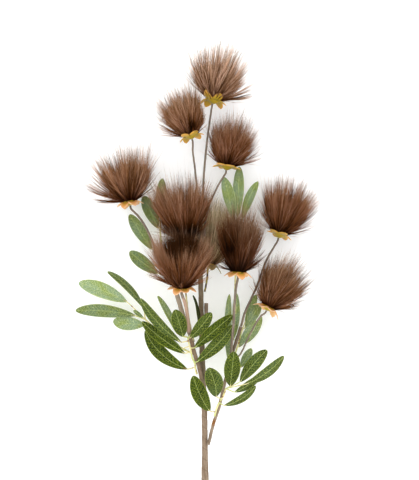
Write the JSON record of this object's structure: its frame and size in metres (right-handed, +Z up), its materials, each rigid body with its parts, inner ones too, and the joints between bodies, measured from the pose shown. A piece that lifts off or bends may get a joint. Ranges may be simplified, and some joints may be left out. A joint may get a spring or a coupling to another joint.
{
  "type": "artificial bottlebrush spray",
  "caption": "Artificial bottlebrush spray, laid down: brown shuttlecock fibre tufts with orange sepals on wire stems, and leafy sprigs, on one cut main stem.",
  "frame": {"origin": "middle of the laid spray's bounding box, on the surface it lies on", "axes": "+Y along the stem from the cut end to the top tuft, +X to the right of a viewer looking down, +Z up"},
  "size_m": [0.2914, 0.623, 0.1479],
  "materials": {
    "bound_stem": "matte",
    "bound_wire": "matte",
    "leaves": "satin",
    "pale_leaves": "satin",
    "sepals": "satin",
    "fibre": "matte"
  },
  "bodies": {
    "root": {"main_stem": "bound_stem", "cut_stub": "bound_stem", "left_branch": "bound_stem", "right_branch": "bound_stem", "stem_top": "bound_wire", "stem_second": "bound_wire", "stem_third": "bound_wire", "stem_left": "bound_wire", "stem_upper_centre": "bound_wire", "stem_lower_centre": "bound_wire", "stem_right_centre": "bound_wire", "stem_upper_right": "bound_wire", "stem_lower_right": "bound_wire", "stem_hidden": "bound_wire", "sprig_far_left": "pale_leaves", "sprig_left_front": "leaves", "sprig_lower_right": "leaves", "sprig_upper_left": "leaves", "sprig_upper_right": "leaves", "sprig_right_back": "pale_leaves", "calyx_top": "sepals", "calyx_second": "sepals", "calyx_third": "sepals", "calyx_left": "sepals", "calyx_upper_centre": "sepals", "calyx_lower_centre": "sepals", "calyx_right_centre": "sepals", "calyx_upper_right": "sepals", "calyx_lower_right": "sepals", "calyx_hidden": "sepals", "tuft_top": "fibre", "tuft_second": "fibre", "tuft_third": "fibre", "tuft_left": "fibre", "tuft_upper_centre": "fibre", "tuft_lower_centre": "fibre", "tuft_right_centre": "fibre", "tuft_upper_right": "fibre", "tuft_lower_right": "fibre", "tuft_hidden": "fibre"}
  },
  "joints": []
}
